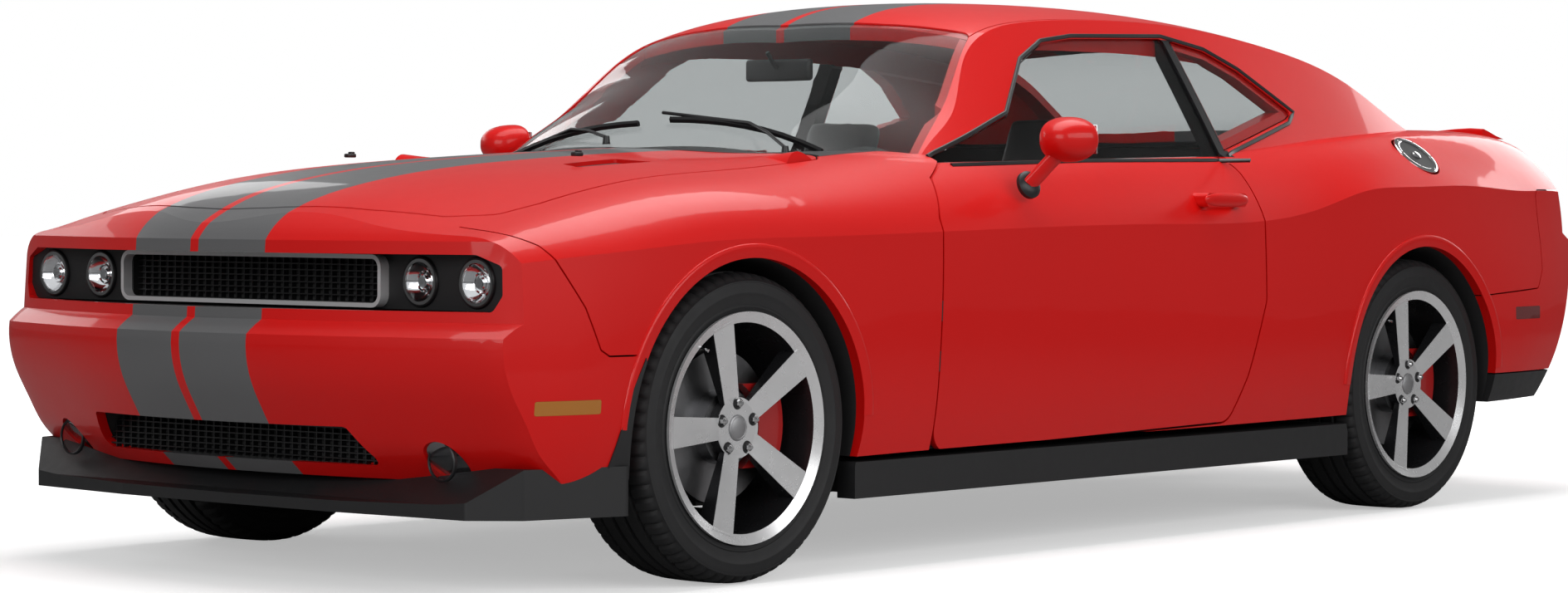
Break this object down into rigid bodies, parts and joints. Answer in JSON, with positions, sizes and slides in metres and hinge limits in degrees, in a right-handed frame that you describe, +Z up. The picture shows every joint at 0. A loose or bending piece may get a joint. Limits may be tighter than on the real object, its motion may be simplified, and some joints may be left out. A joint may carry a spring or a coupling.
{
  "type": "two-door muscle car",
  "caption": "Two-door muscle car with a long hood, short deck, recessed round headlamps, twin hood stripes, opening doors, hood and deck lid, and steered front wheels.",
  "frame": {"origin": "on the ground under the middle of the car's length and width", "axes": "+X to the front, +Y to the left, +Z up"},
  "size_m": [5.0469, 2.1718, 1.4488],
  "materials": {
    "body_red": "gloss red paint",
    "black_plastic": "textured black plastic",
    "structure": "dark primer",
    "glass": "grey tinted glass",
    "lamp_glass": "clear lens",
    "tail_red": "red lens",
    "tyre": "matte rubber",
    "wheel_metal": "machined face",
    "iron": "turned iron",
    "caliper_red": "gloss red",
    "seat_leather": "dark leather",
    "cabin_plastic": "soft dark plastic",
    "chrome": "polished"
  },
  "bodies": {
    "car_body": {"body_side_left": "body_red", "body_side_right": "body_red", "cowl_panel": "black_plastic", "dashboard": "cabin_plastic", "driveline": "iron", "engine_block": "iron", "exhaust": "iron", "fog_lamps": "lamp_glass", "front_bumper_cover": "body_red", "front_fender_left": "body_red", "front_fender_right": "body_red", "front_grille": "black_plastic", "front_seats": "seat_leather", "front_splitter": "black_plastic", "headlamps": "lamp_glass", "lamp_panel": "black_plastic", "quarter_windows": "glass", "rear_bumper_cover": "body_red", "rear_calipers": "caliper_red", "rear_deck_panel": "body_red", "rear_hubs": "iron", "rear_seat": "seat_leather", "rear_valance": "black_plastic", "rear_window": "glass", "roof_panel": "body_red", "side_markers": "tail_red", "side_skirts": "black_plastic", "suspension": "iron", "tail_lamps": "tail_red", "unibody": "structure", "windshield": "glass"},
    "wheel_front_left": {"tyre_front_left": "tyre", "rim_front_left": "wheel_metal", "brake_disc_front_left": "iron"},
    "wheel_front_right": {"tyre_front_right": "tyre", "rim_front_right": "wheel_metal", "brake_disc_front_right": "iron"},
    "wheel_rear_left": {"tyre_rear_left": "tyre", "rim_rear_left": "wheel_metal", "brake_disc_rear_left": "iron"},
    "wheel_rear_right": {"tyre_rear_right": "tyre", "rim_rear_right": "wheel_metal", "brake_disc_rear_right": "iron"},
    "knuckle_left": {"front_knuckle_left": "iron", "front_caliper_left": "caliper_red"},
    "door_left": {"door_glass_left": "glass", "door_left": "body_red", "mirror_left": "body_red"},
    "knuckle_right": {"front_knuckle_right": "iron", "front_caliper_right": "caliper_red"},
    "door_right": {"door_glass_right": "glass", "door_right": "body_red", "mirror_right": "body_red"},
    "steering_wheel": {"steering_wheel": "cabin_plastic"},
    "hood": {"hood_panel": "body_red", "hood_vents": "black_plastic"},
    "deck_lid": {"deck_lid": "body_red"},
    "fuel_door": {"fuel_door": "chrome"}
  },
  "joints": [
    {"name": "steer_left", "type": "hinge", "parent": "car_body", "child": "knuckle_left", "pos_m": [1.5725, 0.792, 0.364], "axis": [0, 0, 1], "range_deg": [-33, 33]},
    {"name": "steer_right", "type": "hinge", "parent": "car_body", "child": "knuckle_right", "pos_m": [1.5725, -0.792, 0.364], "axis": [0, 0, 1], "range_deg": [-34, 34]},
    {"name": "steering_wheel_turn", "type": "hinge", "parent": "car_body", "child": "steering_wheel", "pos_m": [0.41, 0.37, 0.85], "axis": [-0.9135, 0, 0.4067], "range_deg": [-500, 500]},
    {"name": "door_left_hinge", "type": "hinge", "parent": "car_body", "child": "door_left", "pos_m": [0.88499, 0.9475, 0.56221], "axis": [0.0693, 0, -0.9976], "range_deg": [0, 65]},
    {"name": "door_right_hinge", "type": "hinge", "parent": "car_body", "child": "door_right", "pos_m": [0.88499, -0.9475, 0.56221], "axis": [-0.0693, 0, 0.9976], "range_deg": [0, 65]},
    {"name": "hood_hinge", "type": "hinge", "parent": "car_body", "child": "hood", "pos_m": [0.96, 0, 0.965], "axis": [0, -1, 0], "range_deg": [0, 50]},
    {"name": "deck_lid_hinge", "type": "hinge", "parent": "car_body", "child": "deck_lid", "pos_m": [-1.62, 0, 1.04], "axis": [0, 1, 0], "range_deg": [0, 72]},
    {"name": "wheel_front_left_spin", "type": "hinge", "parent": "knuckle_left", "child": "wheel_front_left", "pos_m": [1.5725, 0.8015, 0.364], "axis": [0, 1, 0], "continuous": true},
    {"name": "wheel_front_right_spin", "type": "hinge", "parent": "knuckle_right", "child": "wheel_front_right", "pos_m": [1.5725, -0.8015, 0.364], "axis": [0, 1, 0], "continuous": true},
    {"name": "wheel_rear_left_spin", "type": "hinge", "parent": "car_body", "child": "wheel_rear_left", "pos_m": [-1.3735, 0.8, 0.364], "axis": [0, 1, 0], "continuous": true},
    {"name": "wheel_rear_right_spin", "type": "hinge", "parent": "car_body", "child": "wheel_rear_right", "pos_m": [-1.3735, -0.8, 0.364], "axis": [0, 1, 0], "continuous": true},
    {"name": "fuel_door_hinge", "type": "hinge", "parent": "car_body", "child": "fuel_door", "pos_m": [-1.40382, 0.84262, 1.02957], "axis": [0, 0.7547, -0.6561], "range_deg": [0, 90]}
  ],
  "couplings": [
    {"joint": "steer_right", "follows": "steer_left", "ratio": 1},
    {"joint": "steering_wheel_turn", "follows": "steer_left", "ratio": 15}
  ]
}
